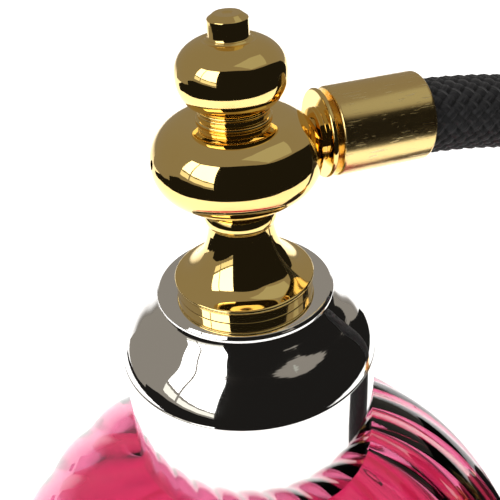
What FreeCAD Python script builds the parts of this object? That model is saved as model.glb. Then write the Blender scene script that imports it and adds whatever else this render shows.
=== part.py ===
"""A bulb atomiser for perfume: a swirl-ribbed glass globe, a domed screw collar, a turned spray
head with a finial, and a braided hose with a squeeze bulb that hangs beside the globe.

Millimetres. +Z is up, and the origin is the centre of the foot, on the surface it stands on.
The hose leaves the spray head towards +X, and the spray leaves towards -X.
"""
import FreeCAD, Part
import math
import os
from FreeCAD import Vector

os.makedirs("parts", exist_ok=True)

# ---------------------------------------------------------------- driving dimensions
# Glass globe
GLOBE_R = 37.0            # outer radius of the globe
GLOBE_Z = 33.2            # height of the globe's centre
GLASS_WALL = 2.8
FOOT_R = 14.2             # outer radius of the flat foot ring
PUNT_R = 10.2             # radius of the hollow under the foot
PUNT_RISE = 1.3
FLOOR_Z = 5.4             # height of the inside floor
NECK_ROOT_R = 8.95        # outside of the neck, under the thread
NECK_BORE_R = 7.25
NECK_FOOT_Z = 70.8        # where the neck leaves the shoulder
RIM_Z = 83.8              # top of the glass

# Screw thread between the neck and the liner
PITCH = 3.0
THREAD_TURNS = 1.25
NECK_THREAD_Z = 76.6      # start of the neck's ridge
NECK_CREST_R = 9.9
LINER_ROOT_R = 10.25
LINER_CREST_R = 9.25
RIDGE_WIDE = 1.7          # width of a ridge at its foot
RIDGE_NARROW = 1.1        # width of a ridge at its crest

# Collar
PLATE_Z = 91.6            # top face of the plate under the spray head
PLATE_R = 9.07
PLATE_THICK = 1.0
COLLAR_R = 13.5
SHELL_WALL = 0.5
DOME_FALL = 7.4           # from the plate's top down to the top edge of the skirt
SKIRT_BOTTOM_Z = 70.7
LINER_R = 12.9
LINER_ROOF_Z = 84.9       # underside of the liner's roof
LINER_ROOF_THICK = 1.6
LINER_BOSS_R = 5.8
NUT_POCKET_R = 4.7        # hollow under the liner's boss, for the stem's nut and washer
NUT_POCKET_Z = 87.9       # roof of that hollow
SHELL_HOLE_R = 4.0

# Spray head, heights above the plate
BELL_LIP_R = 7.07
BELL_LIP_RISE = 1.55
BELL_NECK_R = 3.2
BELL_TOP_RISE = 7.5
SEAT_R = 4.72             # thin flange under the lower ball
SEAT_RISE = 10.8
LOWER_BALL_R = 8.4
LOWER_BALL_RISE = 14.4    # height of its widest line
LOWER_BALL_UP = 3.9
LOWER_BALL_DOWN = 4.6
LOWER_BALL_FULLNESS = 2.3  # 2 is an ellipse below the widest line; more is squarer
BALL_FLAT_R = 4.3         # radius of the flat on top of the lower ball
NECK_RING_R = 3.3
UPPER_BALL_R = 5.0
UPPER_BALL_RISE = 22.6
UPPER_BALL_UP = 3.28
UPPER_BALL_DOWN = 3.8
UPPER_BALL_FULLNESS = 2.35
UPPER_FLAT_RISE = 20.2    # flat underside of the upper ball
CROWN_R = 2.4             # small raised collar round the pin
CROWN_RISE = 25.75
PIN_R = 1.8
PIN_TOP_RISE = 27.8
PIN_SHANK_R = 1.0
PIN_DEPTH = 0.75           # how far the pin's shank goes into the lower ball
AXIS_RISE = 15.1          # height of the spray axis

# Liquid path
STEM_R = 2.45
STEM_BORE_R = 0.9
RUN_GAP = 0.08            # radial clearance where the collar turns about the stem
DIP_R = 1.9
DIP_BORE_R = 1.3
DIP_BOTTOM_Z = 9.0
SHANK_FOOT_Z = 84.8       # where the stem narrows to the barb that holds the dip tube
CROSS_BORE_R = 1.6
OUTLET_R = 0.45           # hole in the ball's skin that the spray leaves through
OUTLET_SKIN = 1.35        # thickness of metal left round it

# Hose
HOSE_R = 3.7              # over the braid
HOSE_TUBE_R = 2.5         # over the rubber
HOSE_BORE_R = 1.5
FERRULE_R = 4.3
FERRULE_START_X = 9.1
FERRULE_END_X = 18.5
HOSE_START_X = 10.6
HOSE_RUN = 16.5           # length of each run of the bend
HOSE_FIRST_TURN_X = 26.4
HOSE_TURNS = 4            # equal turns from level to hanging
HOSE_LAST_RUN = 15.4
BEND_SHARE = 0.45         # share of a run that a bend may use at each end

# Bulb, which hangs straight down from the hose
BULB_R = 16.6
BULB_TOP_Z = 53.0
BULB_TAIL_Z = 7.0
BULB_NECK_R = 5.4
COVER_THICK = 0.7
VALVE_BODY_R = 4.0
VALVE_CHAMBER_R = 2.2
VALVE_BALL_R = 1.6
VALVE_SEAT_R = 1.0
VALVE_SLACK = 0.03
TAIL_FLANGE_Z = 3.2       # underside of the intake fitting

SPRAY_Z = PLATE_Z + AXIS_RISE
FULL_TURN = 360.0
Z_AXIS = Vector(0, 0, 1)
ORIGIN = Vector(0, 0, 0)


# ---------------------------------------------------------------- helpers
def at(radius, height):
    """A point of an outline, in the half plane that is turned about Z."""
    return Vector(radius, 0, height)


def outline(start, *steps):
    """A closed wire from (radius, height) steps: a point for a straight line, a pair of points
    for an arc through the first, or a list of points for a smooth curve."""
    edges = []
    here = at(*start)
    for step in steps:
        if isinstance(step, list):
            curve = Part.BSplineCurve()
            curve.interpolate([here] + [at(*p) for p in step])
            edges.append(curve.toShape())
            here = at(*step[-1])
        elif isinstance(step[0], tuple):
            edges.append(Part.Arc(here, at(*step[0]), at(*step[1])).toShape())
            here = at(*step[1])
        else:
            edges.append(Part.LineSegment(here, at(*step)).toShape())
            here = at(*step)
    if here.distanceToPoint(at(*start)) > 1e-7:
        edges.append(Part.LineSegment(here, at(*start)).toShape())
    return Part.Wire(edges)


def turned(start, *steps):
    """A solid of revolution about Z."""
    solid = Part.Face(outline(start, *steps)).revolve(ORIGIN, Z_AXIS, FULL_TURN)
    return solid if solid.Volume > 0 else solid.reversed()


def rod(radius, low, high):
    return Part.makeCylinder(radius, high - low, Vector(0, 0, low))


def pipe(outer, inner, low, high):
    return rod(outer, low, high).cut(rod(inner, low, high))


def along_x(shape, direction=1):
    """Turns a shape modelled along +Z so that it lies along the spray axis, towards +X or -X."""
    placed = shape.copy()
    placed.rotate(ORIGIN, Vector(0, 1, 0), 90 * direction)
    placed.translate(Vector(0, 0, SPRAY_Z))
    return placed


def half_oval(wide, tall, power, centre, first, last, count):
    """Points of a superellipse quarter from one share of its turn to another."""
    points = []
    for i in range(count + 1):
        turn = math.radians(first + (last - first) * i / count)
        across = abs(math.cos(turn)) ** (2 / power)
        up = abs(math.sin(turn)) ** (2 / power)
        points.append((wide * across, centre + math.copysign(tall * up, turn)))
    return points


def ridge(root, crest, start_z, turns, phase=0.0):
    """A helical thread ridge, from its root radius to its crest radius."""
    sunk = 0.15 if crest > root else -0.15
    middle = (root + crest) / 2
    wide = RIDGE_WIDE / 2
    narrow = RIDGE_NARROW / 2
    wire = Part.makePolygon([
        at(root - sunk, start_z - wide),
        at(crest, start_z - narrow),
        at(crest, start_z + narrow),
        at(root - sunk, start_z + wide),
        at(root - sunk, start_z - wide),
    ])
    spine = Part.makeHelix(PITCH, PITCH * turns, middle)
    spine.translate(Vector(0, 0, start_z))
    solid = Part.Wire(spine).makePipeShell([wire], True, True)
    if solid.Volume < 0:
        solid = solid.reversed()
    solid.rotate(ORIGIN, Z_AXIS, phase)
    return solid


def rounded_route(points):
    """Straight runs joined by tangent arcs, each as large as its two runs allow."""
    edges = []
    here = points[0]
    for before, corner, after in zip(points, points[1:], points[2:]):
        back = (before - corner).normalize()
        ahead = (after - corner).normalize()
        turn = math.pi - back.getAngle(ahead)
        shorter = min(before.distanceToPoint(corner), after.distanceToPoint(corner))
        reach = BEND_SHARE * shorter
        radius = reach / math.tan(turn / 2)
        first = corner + back * reach
        last = corner + ahead * reach
        inward = (back + ahead).normalize()
        depth = radius / math.cos(turn / 2) - radius
        edges.append(Part.LineSegment(here, first).toShape())
        edges.append(Part.Arc(first, corner + inward * depth, last).toShape())
        here = last
        print("bend radius %.1f mm" % radius)
    edges.append(Part.LineSegment(here, points[-1]).toShape())
    return Part.Wire(edges)


def swept(path, start, radius):
    circle = Part.Wire(Part.makeCircle(radius, start, Vector(1, 0, 0)))
    solid = path.makePipeShell([circle], True, False)
    drawn = math.pi * radius ** 2 * path.Length
    print("hose r %.1f: volume %.1f, section times length %.1f" % (radius, solid.Volume, drawn))
    return solid


def save(name, shape):
    solids = len(shape.Solids)
    if not shape.isValid() or solids < 1:
        raise RuntimeError("%s is not a valid solid" % name)
    shape.exportStep("parts/%s.step" % name)
    print("%-18s solids %d  volume %9.2f mm3" % (name, solids, shape.Volume))


# ---------------------------------------------------------------- glass
def on_globe(radius_of_globe, radius, upper=True):
    rise = math.sqrt(radius_of_globe ** 2 - radius ** 2)
    return GLOBE_Z + rise if upper else GLOBE_Z - rise


def glass_bottle():
    inside = GLOBE_R - GLASS_WALL
    foot_edge = FOOT_R + 3.6
    shoulder = NECK_ROOT_R + 1.75
    floor_edge = 17.0
    floor_turn = 21.0
    throat = NECK_BORE_R + 1.6
    rim_round = 0.45
    body = turned(
        (0, PUNT_RISE),
        ((PUNT_R * 0.6, PUNT_RISE * 0.7), (PUNT_R, 0)),
        (FOOT_R, 0),
        ((FOOT_R + 2.2, 0.55), (foot_edge, on_globe(GLOBE_R, foot_edge, upper=False))),
        ((GLOBE_R, GLOBE_Z), (shoulder, on_globe(GLOBE_R, shoulder))),
        ((NECK_ROOT_R + 0.4, NECK_FOOT_Z - 1.1), (NECK_ROOT_R, NECK_FOOT_Z)),
        (NECK_ROOT_R, RIM_Z - rim_round),
        ((NECK_ROOT_R - 0.13, RIM_Z - 0.13), (NECK_ROOT_R - rim_round, RIM_Z)),
        (NECK_BORE_R + rim_round, RIM_Z),
        ((NECK_BORE_R + 0.13, RIM_Z - 0.13), (NECK_BORE_R, RIM_Z - rim_round)),
        (NECK_BORE_R, NECK_FOOT_Z - 1.8),
        ((NECK_BORE_R + 0.35, NECK_FOOT_Z - 3.3), (throat, on_globe(inside, throat))),
        ((inside, GLOBE_Z), (floor_turn, on_globe(inside, floor_turn, upper=False))),
        ((floor_edge + 2.1, FLOOR_Z + 0.5), (floor_edge, FLOOR_Z)),
        (0, FLOOR_Z),
    )
    thread = ridge(NECK_ROOT_R, NECK_CREST_R, NECK_THREAD_Z, THREAD_TURNS)
    return body.fuse(thread).removeSplitter()


# ---------------------------------------------------------------- collar
def dome_points(inset):
    """The dome's ogee: a cove under the plate that rolls over into a cushion."""
    top_r = PLATE_R - 0.45 - inset
    edge_r = COLLAR_R - 0.08 - inset
    top_z = PLATE_Z - PLATE_THICK - inset
    edge_z = PLATE_Z - DOME_FALL
    shares = [(0.0, 0.0), (0.03, 0.07), (0.14, 0.17), (0.36, 0.33), (0.62, 0.51), (0.84, 0.71),
              (0.96, 0.88), (1.0, 1.0)]
    return [(top_r + (edge_r - top_r) * a, top_z + (edge_z - top_z) * b) for a, b in shares]


def collar_shell():
    """Spun metal: a flat roof, an ogee dome, a crisp step and a straight skirt with a rolled hem."""
    top_z = PLATE_Z - PLATE_THICK
    step_z = PLATE_Z - DOME_FALL
    outer = dome_points(0.0)
    inner = dome_points(SHELL_WALL)
    inner.reverse()
    inside_r = COLLAR_R - SHELL_WALL
    return turned(
        (SHELL_HOLE_R, top_z),
        outer[0],
        outer[1:],
        (COLLAR_R, step_z - 0.12),
        (COLLAR_R, SKIRT_BOTTOM_Z + 0.3),
        ((COLLAR_R - 0.25, SKIRT_BOTTOM_Z), (COLLAR_R - 0.5, SKIRT_BOTTOM_Z + 0.3)),
        (inside_r, step_z - 0.6),
        inner[0],
        inner[1:],
        (SHELL_HOLE_R, top_z - SHELL_WALL),
    )


def collar_plate():
    """The bright flat washer that the spray head stands on."""
    low = PLATE_Z - PLATE_THICK
    bevel = 0.28
    return turned(
        (STEM_R + RUN_GAP, low),
        (PLATE_R - 0.35, low),
        ((PLATE_R - 0.08, low + 0.2), (PLATE_R, low + 0.45)),
        (PLATE_R, PLATE_Z - bevel),
        (PLATE_R - bevel, PLATE_Z),
        (STEM_R + RUN_GAP, PLATE_Z),
    )


def collar_liner():
    """The moulded cap inside the collar: it carries the screw thread, and its boss is hollow
    below for the nut that holds the spray head."""
    roof_top = LINER_ROOF_Z + LINER_ROOF_THICK
    boss_top = PLATE_Z - PLATE_THICK - SHELL_WALL
    low = SKIRT_BOTTOM_Z + 0.9
    body = turned(
        (LINER_ROOT_R, low + 0.5),
        (LINER_ROOT_R + 0.5, low),
        (LINER_R, low),
        (LINER_R, roof_top - 4.4),
        ((LINER_R - 0.75, roof_top - 1.6), (LINER_R - 3.0, roof_top)),
        (LINER_BOSS_R, roof_top),
        (LINER_BOSS_R, boss_top),
        (STEM_R + RUN_GAP, boss_top),
        (STEM_R + RUN_GAP, NUT_POCKET_Z),
        (NUT_POCKET_R, NUT_POCKET_Z),
        (NUT_POCKET_R, LINER_ROOF_Z),
        (LINER_ROOT_R, LINER_ROOF_Z),
    )
    start = NECK_THREAD_Z - PITCH / 2
    return body.fuse(ridge(LINER_ROOT_R, LINER_CREST_R, start, THREAD_TURNS)).removeSplitter()


def neck_gasket():
    gap = 0.05
    return pipe(NECK_CREST_R, NECK_BORE_R + 0.1, RIM_Z + gap, LINER_ROOF_Z)


# ---------------------------------------------------------------- spray head
def head_bell():
    """The flared foot of the spray head, with a rolled lip over a short straight band."""
    lip_z = PLATE_Z + BELL_LIP_RISE
    top = PLATE_Z + BELL_TOP_RISE
    band_r = BELL_LIP_R - 0.12
    base = PLATE_Z + 0.03
    return turned(
        (STEM_R, base),
        (band_r, base),
        (band_r, lip_z - 0.52),
        (band_r - 0.12, lip_z - 0.46),
        ((BELL_LIP_R, lip_z - 0.22), (band_r - 0.08, lip_z)),
        [(BELL_LIP_R - 1.1, lip_z + 0.42), (BELL_LIP_R - 2.25, lip_z + 1.45),
         (BELL_NECK_R + 0.6, lip_z + 3.1), (BELL_NECK_R + 0.08, lip_z + 5.0)],
        (BELL_NECK_R, top),
        (STEM_R, top),
    )


def ball_seat():
    """The stepped ring between the bell and the lower ball."""
    low = PLATE_Z + BELL_TOP_RISE
    top = PLATE_Z + SEAT_RISE
    ring_r = BELL_NECK_R + 0.25
    return turned(
        (STEM_R, low),
        (ring_r - 0.15, low),
        ((ring_r + 0.1, low + 0.75), (ring_r - 0.05, low + 1.5)),
        (ring_r - 0.3, low + 1.6),
        ((ring_r - 0.05, low + 2.1), (SEAT_R - 0.45, top - 0.72)),
        (SEAT_R - 0.1, top - 0.66),
        ((SEAT_R, top - 0.5), (SEAT_R - 0.1, top - 0.34)),
        (SEAT_R - 0.25, top - 0.3),
        (SEAT_R - 0.05, top),
        (STEM_R, top),
    )


def lower_ball():
    """The atomiser body: a flattened ball with a flat on top, an upright bore for the stem, a
    cross bore for the air and the spray, and a tapped hole on top for the finial pin."""
    middle = PLATE_Z + LOWER_BALL_RISE
    low = PLATE_Z + SEAT_RISE
    top = middle + LOWER_BALL_UP
    power = LOWER_BALL_FULLNESS
    cut = math.degrees(math.asin(((middle - low) / LOWER_BALL_DOWN) ** (power / 2)))
    down = half_oval(LOWER_BALL_R, LOWER_BALL_DOWN, power, middle, -cut, 0, 9)
    up = half_oval(LOWER_BALL_R - BALL_FLAT_R, LOWER_BALL_UP, 2.0, middle, 0, 90, 9)
    up = [(BALL_FLAT_R + r, z) for r, z in up]
    ball = turned(
        (0, low),
        down[0],
        down[1:] + up[1:],
        (0, top),
    )
    stem_hole = rod(STEM_R, low - 1, SPRAY_Z - CROSS_BORE_R * 0.5)
    cross = along_x(rod(CROSS_BORE_R, OUTLET_SKIN - LOWER_BALL_R, LOWER_BALL_R + 1))
    outlet = along_x(rod(OUTLET_R, -LOWER_BALL_R - 1, 0))
    face = along_x(rod(2.6, LOWER_BALL_R - 0.55, LOWER_BALL_R + 1))
    pin_hole = rod(PIN_SHANK_R, top - PIN_DEPTH, top + 1)
    return ball.cut(stem_hole).cut(cross).cut(outlet).cut(face).cut(pin_hole)


def spray_nozzle():
    """A small turned insert with the spray orifice, pressed in behind the ball's outlet."""
    tip = LOWER_BALL_R - OUTLET_SKIN - 0.02
    body = turned(
        (0.32, tip - 3.4),
        (CROSS_BORE_R, tip - 3.4),
        (CROSS_BORE_R, tip - 0.3),
        (CROSS_BORE_R - 0.3, tip),
        (0.75, tip),
        (0.32, tip - 0.55),
    )
    return along_x(body, -1)


def air_jet():
    """The narrow tube that blows air across the top of the stem."""
    return along_x(turned(
        (0.4, 3.0),
        (0.8, 3.0),
        (1.0, 3.8),
        (CROSS_BORE_R, 4.1),
        (CROSS_BORE_R, 7.2),
        (1.1, 7.2),
        (1.1, 4.6),
    ))


def siphon_stem():
    """The threaded tube that carries the head, passes through the collar and lifts the liquid."""
    top = SPRAY_Z - CROSS_BORE_R * 0.5 - 0.02
    barb_low = SHANK_FOOT_Z - 6.4
    return turned(
        (STEM_BORE_R, barb_low),
        (DIP_BORE_R - 0.25, barb_low),
        (DIP_BORE_R, barb_low + 1.2),
        (DIP_BORE_R, SHANK_FOOT_Z),
        (STEM_R, SHANK_FOOT_Z),
        (STEM_R, top - 1.4),
        (STEM_R - 0.9, top),
        (STEM_BORE_R, top),
    )


def stem_washer():
    return pipe(4.4, STEM_R, NUT_POCKET_Z - 0.75, NUT_POCKET_Z - 0.05)


def stem_nut():
    """Hexagon nut that holds the head to the collar from below."""
    across_flats = 7.0
    corner = across_flats / math.sqrt(3)
    low = NUT_POCKET_Z - 2.75
    corners = []
    for i in range(7):
        turn = math.radians(60 * i)
        corners.append(Vector(corner * math.cos(turn), corner * math.sin(turn), low))
    prism = Part.Face(Part.makePolygon(corners)).extrude(Vector(0, 0, 2.0))
    return prism.cut(rod(STEM_R, low - 1, low + 3))


def dip_tube():
    """Soft clear tube, cut at a slant just above the floor of the globe."""
    tube = pipe(DIP_R, DIP_BORE_R, DIP_BOTTOM_Z - 2, SHANK_FOOT_Z - 0.2)
    wedge = Part.makeBox(12, 12, 6, Vector(-6, -6, -6))
    wedge.rotate(ORIGIN, Vector(0, 1, 0), 30)
    wedge.translate(Vector(0, 0, DIP_BOTTOM_Z))
    return tube.cut(wedge)


def finial_neck():
    """The beaded ring between the two balls."""
    low = PLATE_Z + LOWER_BALL_RISE + LOWER_BALL_UP
    top = PLATE_Z + UPPER_FLAT_RISE
    r = NECK_RING_R
    return turned(
        (PIN_SHANK_R, low),
        (r + 0.12, low),
        ((r + 0.2, low + 0.16), (r + 0.1, low + 0.32)),
        (r - 0.08, low + 0.38),
        (r, low + 0.46),
        (r, low + 0.84),
        (r - 0.14, low + 0.94),
        ((r + 0.1, low + 1.12), (r - 0.1, low + 1.3)),
        ((r + 0.12, low + 1.55), (r + 0.5, top)),
        (PIN_SHANK_R, top),
    )


def finial_ball():
    """The upper ball, with a flat underside and a small raised collar round the pin."""
    middle = PLATE_Z + UPPER_BALL_RISE
    low = PLATE_Z + UPPER_FLAT_RISE
    crown = PLATE_Z + CROWN_RISE
    power = UPPER_BALL_FULLNESS
    cut = -math.degrees(math.asin(((middle - low) / UPPER_BALL_DOWN) ** (power / 2)))
    down = half_oval(UPPER_BALL_R, UPPER_BALL_DOWN, power, middle, cut, 0, 7)
    rest = math.degrees(math.acos((CROWN_R / UPPER_BALL_R) ** (power / 2)))
    up = half_oval(UPPER_BALL_R, UPPER_BALL_UP, power, middle, 0, rest, 9)
    return turned(
        (PIN_SHANK_R, low),
        down[0],
        down[1:] + up[1:],
        ((CROWN_R - 0.22, crown - 0.16), (CROWN_R - 0.4, crown)),
        (PIN_SHANK_R, crown),
    )


def finial_pin():
    """The screw that holds the finial: a dimpled head on top and a shank down to the ball."""
    foot = PLATE_Z + LOWER_BALL_RISE + LOWER_BALL_UP - PIN_DEPTH
    crown = PLATE_Z + CROWN_RISE
    top = PLATE_Z + PIN_TOP_RISE
    return turned(
        (0, foot),
        (PIN_SHANK_R, foot),
        (PIN_SHANK_R, crown),
        (PIN_R + 0.12, crown),
        ((PIN_R + 0.04, crown + 0.1), (PIN_R, crown + 0.25)),
        (PIN_R, top - 0.42),
        (PIN_R - 0.55, top),
        (0.5, top),
        (0.3, top - 0.12),
        (0, top - 0.15),
    )


# ---------------------------------------------------------------- hose and its fittings
def hose_nipple():
    """Screwed into the ball: a flange against the skin, then a barbed spigot inside the hose."""
    skin = LOWER_BALL_R - 0.05
    return along_x(turned(
        (0.8, 7.25),
        (CROSS_BORE_R - 0.05, 7.25),
        (CROSS_BORE_R - 0.05, skin - 0.48),
        (2.55, skin - 0.48),
        (2.55, skin),
        (FERRULE_R - 0.15, skin),
        ((FERRULE_R, skin + 0.25), (FERRULE_R - 0.15, skin + 0.5)),
        (2.9, skin + 0.5),
        (2.9, HOSE_START_X - 0.05),
        (HOSE_BORE_R, HOSE_START_X - 0.05),
        (HOSE_BORE_R, 16.2),
        (HOSE_BORE_R - 0.35, 17.2),
        (0.8, 17.2),
    ))


def hose_ferrule():
    """The sleeve crimped over the end of the hose."""
    return along_x(turned(
        (2.9, FERRULE_START_X),
        (FERRULE_R - 0.3, FERRULE_START_X),
        ((FERRULE_R - 0.08, FERRULE_START_X + 0.08), (FERRULE_R, FERRULE_START_X + 0.3)),
        (FERRULE_R, FERRULE_END_X - 0.45),
        ((FERRULE_R - 0.12, FERRULE_END_X - 0.12), (HOSE_R + 0.1, FERRULE_END_X)),
        (HOSE_R, FERRULE_END_X - 0.1),
        (HOSE_R, HOSE_START_X),
        (2.9, HOSE_START_X),
    ))


def hose_route():
    """Level out of the ferrule, then four equal turns down to the hanging bulb."""
    points = [Vector(HOSE_START_X, 0, SPRAY_Z), Vector(HOSE_FIRST_TURN_X, 0, SPRAY_Z)]
    for i in range(1, HOSE_TURNS + 1):
        slope = math.radians(90.0 * i / HOSE_TURNS)
        run = HOSE_LAST_RUN if i == HOSE_TURNS else HOSE_RUN
        points.append(points[-1] + Vector(run * math.cos(slope), 0, -run * math.sin(slope)))
    return points


def hose_parts():
    points = hose_route()
    for p in points:
        print("hose point %.2f %.2f %.2f" % (p.x, p.y, p.z))
    path = rounded_route(points)
    print("hose length %.1f mm" % path.Length)
    outer, middle, inner = [swept(path, points[0], r) for r in (HOSE_R, HOSE_TUBE_R, HOSE_BORE_R)]
    return outer.cut(middle), middle.cut(inner), points[-1]


# ---------------------------------------------------------------- bulb, about its own Z axis
def valve_fitting(low, body_steps):
    """A turned fitting whose bore holds a check ball on a seat at the height low."""
    chamber_top = low + 3.5
    bore = [
        (0.8, chamber_top + 0.8),
        (VALVE_CHAMBER_R, chamber_top),
        (VALVE_CHAMBER_R, low),
        (VALVE_SEAT_R, low),
    ]
    return turned(*body_steps, *bore)


def ball_rest_z(low):
    return low + math.sqrt(VALVE_BALL_R ** 2 - VALVE_SEAT_R ** 2) + VALVE_SLACK


def check_ball(low):
    ball = Part.makeSphere(VALVE_BALL_R)
    ball.translate(Vector(0, 0, ball_rest_z(low)))
    return ball


def bulb_connector(hose_end):
    """Joins the hose to the bulb and holds the outlet check ball."""
    low = BULB_TOP_Z - 6.0
    return valve_fitting(low + 1.0, [
        (VALVE_SEAT_R, low),
        (VALVE_BODY_R, low),
        (VALVE_BODY_R, BULB_TOP_Z),
        (BULB_NECK_R, BULB_TOP_Z),
        ((BULB_NECK_R + 0.25, BULB_TOP_Z + 0.6), (BULB_NECK_R, BULB_TOP_Z + 1.2)),
        (2.9, BULB_TOP_Z + 1.8),
        (2.9, hose_end),
        (HOSE_BORE_R, hose_end),
        (HOSE_BORE_R, hose_end + 5.4),
        (HOSE_BORE_R - 0.35, hose_end + 6.4),
        (0.8, hose_end + 6.4),
    ])


def bulb_ferrule(hose_end):
    low = hose_end - 1.3
    top = hose_end + 6.6
    return turned(
        (2.9, low),
        (FERRULE_R - 0.45, low),
        ((FERRULE_R - 0.12, low + 0.12), (FERRULE_R, low + 0.45)),
        (FERRULE_R, top - 0.45),
        ((FERRULE_R - 0.12, top - 0.12), (HOSE_R + 0.1, top)),
        (HOSE_R, top - 0.1),
        (HOSE_R, hose_end),
        (2.9, hose_end),
    )


def bulb_side(offset):
    """The egg-shaped side of the bulb from its top neck to its tail, pushed out by offset."""
    shares = [(0.00, 0.920), (0.16, 0.885), (0.46, 0.820), (0.76, 0.713), (0.95, 0.587), (1.00, 0.482),
              (0.96, 0.365), (0.83, 0.250), (0.58, 0.157), (0.28, 0.096), (0.06, 0.064), (0.00, 0.040)]
    span = BULB_R - BULB_NECK_R
    tall = BULB_TOP_Z - BULB_TAIL_Z
    return [(BULB_NECK_R + offset + span * out, BULB_TAIL_Z + tall * up) for out, up in shares]


def bulb_shell(outer_offset, inner_offset):
    outer = bulb_side(outer_offset)
    inner = bulb_side(inner_offset)
    inner.reverse()
    return turned(
        (outer[0][0], BULB_TOP_Z),
        outer[0],
        outer[1:],
        (outer[-1][0], BULB_TAIL_Z),
        (inner[0][0], BULB_TAIL_Z),
        inner[0],
        inner[1:],
        (inner[-1][0], BULB_TOP_Z),
    )


def neck_ring(offset, low, high):
    """A crimped ring round one of the bulb's necks."""
    inside = BULB_NECK_R + COVER_THICK + offset
    middle = (low + high) / 2
    return turned(
        (inside, low),
        ((inside + 0.75, middle), (inside, high)),
    )


def intake_fitting():
    """Closes the tail of the bulb and holds the intake check ball."""
    low = TAIL_FLANGE_Z
    gap = 0.05
    return valve_fitting(low + 1.0, [
        (VALVE_SEAT_R, low),
        (BULB_NECK_R - 0.9, low),
        ((BULB_NECK_R + 0.1, low + 0.5), (BULB_NECK_R + 0.5, low + 1.6)),
        (BULB_NECK_R + 0.5, BULB_TAIL_Z - 0.8),
        (BULB_NECK_R, BULB_TAIL_Z - gap),
        (VALVE_BODY_R - gap, BULB_TAIL_Z - gap),
        (VALVE_BODY_R - gap, BULB_TAIL_Z + 3.6),
        (0.8, BULB_TAIL_Z + 3.6),
    ])


def hang(shape, place):
    shape.translate(Vector(place.x, place.y, 0))
    return shape


# ---------------------------------------------------------------- every piece
def main():
    braid, tube, hose_end = hose_parts()
    save("glass_bottle", glass_bottle())
    save("collar_shell", collar_shell())
    save("collar_plate", collar_plate())
    save("collar_liner", collar_liner())
    save("neck_gasket", neck_gasket())
    save("head_bell", head_bell())
    save("ball_seat", ball_seat())
    save("lower_ball", lower_ball())
    save("spray_nozzle", spray_nozzle())
    save("air_jet", air_jet())
    save("siphon_stem", siphon_stem())
    save("stem_washer", stem_washer())
    save("stem_nut", stem_nut())
    save("dip_tube", dip_tube())
    save("finial_neck", finial_neck())
    save("finial_ball", finial_ball())
    save("finial_pin", finial_pin())
    save("hose_nipple", hose_nipple())
    save("hose_ferrule", hose_ferrule())
    save("hose_braid", braid)
    save("hose_tube", tube)
    save("bulb_connector", hang(bulb_connector(hose_end.z), hose_end))
    save("bulb_ferrule", hang(bulb_ferrule(hose_end.z), hose_end))
    save("rubber_bulb", hang(bulb_shell(0.0, VALVE_BODY_R - BULB_NECK_R), hose_end))
    save("bulb_cover", hang(bulb_shell(COVER_THICK, 0.0), hose_end))
    save("bulb_neck_ring", hang(neck_ring(0.0, BULB_TOP_Z - 3.2, BULB_TOP_Z - 0.4), hose_end))
    save("bulb_tail_ring", hang(neck_ring(0.05, BULB_TAIL_Z + 0.1, BULB_TAIL_Z + 1.5), hose_end))
    save("intake_fitting", hang(intake_fitting(), hose_end))
    save("outlet_check_ball", hang(check_ball(BULB_TOP_Z - 5.0), hose_end))
    save("intake_check_ball", hang(check_ball(TAIL_FLANGE_Z + 1.0), hose_end))


main()
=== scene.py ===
"""Looks of the bulb atomiser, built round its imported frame.

Outlines are in millimetres, as (radius, height) in the half plane that is turned about an axis.
Everything that reaches Blender is in metres, in the frame's own place.
"""

import bmesh
import bpy
import math
import numpy as np
from mathutils import Matrix, Vector


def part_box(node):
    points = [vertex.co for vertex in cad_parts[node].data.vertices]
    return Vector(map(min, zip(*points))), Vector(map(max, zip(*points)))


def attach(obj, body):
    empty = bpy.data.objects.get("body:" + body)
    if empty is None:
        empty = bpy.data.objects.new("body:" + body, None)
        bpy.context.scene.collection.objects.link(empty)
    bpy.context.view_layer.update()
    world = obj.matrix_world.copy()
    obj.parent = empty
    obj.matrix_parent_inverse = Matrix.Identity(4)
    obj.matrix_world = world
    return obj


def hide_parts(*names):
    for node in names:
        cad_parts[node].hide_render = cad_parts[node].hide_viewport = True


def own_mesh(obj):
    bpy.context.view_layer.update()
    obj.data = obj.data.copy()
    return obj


MM = 0.001
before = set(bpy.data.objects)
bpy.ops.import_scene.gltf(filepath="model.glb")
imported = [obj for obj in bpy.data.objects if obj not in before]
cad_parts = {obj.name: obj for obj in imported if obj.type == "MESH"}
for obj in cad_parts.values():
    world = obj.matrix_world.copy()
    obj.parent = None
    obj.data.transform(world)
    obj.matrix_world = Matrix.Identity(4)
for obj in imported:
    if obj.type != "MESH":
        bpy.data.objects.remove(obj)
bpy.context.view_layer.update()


# ---- sizes taken from the frame
def upright(node):
    """Outer radius, foot and top of a piece that is turned about the bottle's axis."""
    low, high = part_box(node)
    return high.x / MM, low.z / MM, high.z / MM


def level(node):
    """Outer radius, near end and far end of a piece that lies along the spray axis."""
    low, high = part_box(node)
    return (high.z - low.z) / 2 / MM, low.x / MM, high.x / MM


def hanging(node):
    """Outer radius, foot and top of a piece that is turned about the bulb's axis."""
    low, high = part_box(node)
    return (high.y - low.y) / 2 / MM, low.z / MM, high.z / MM


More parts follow.
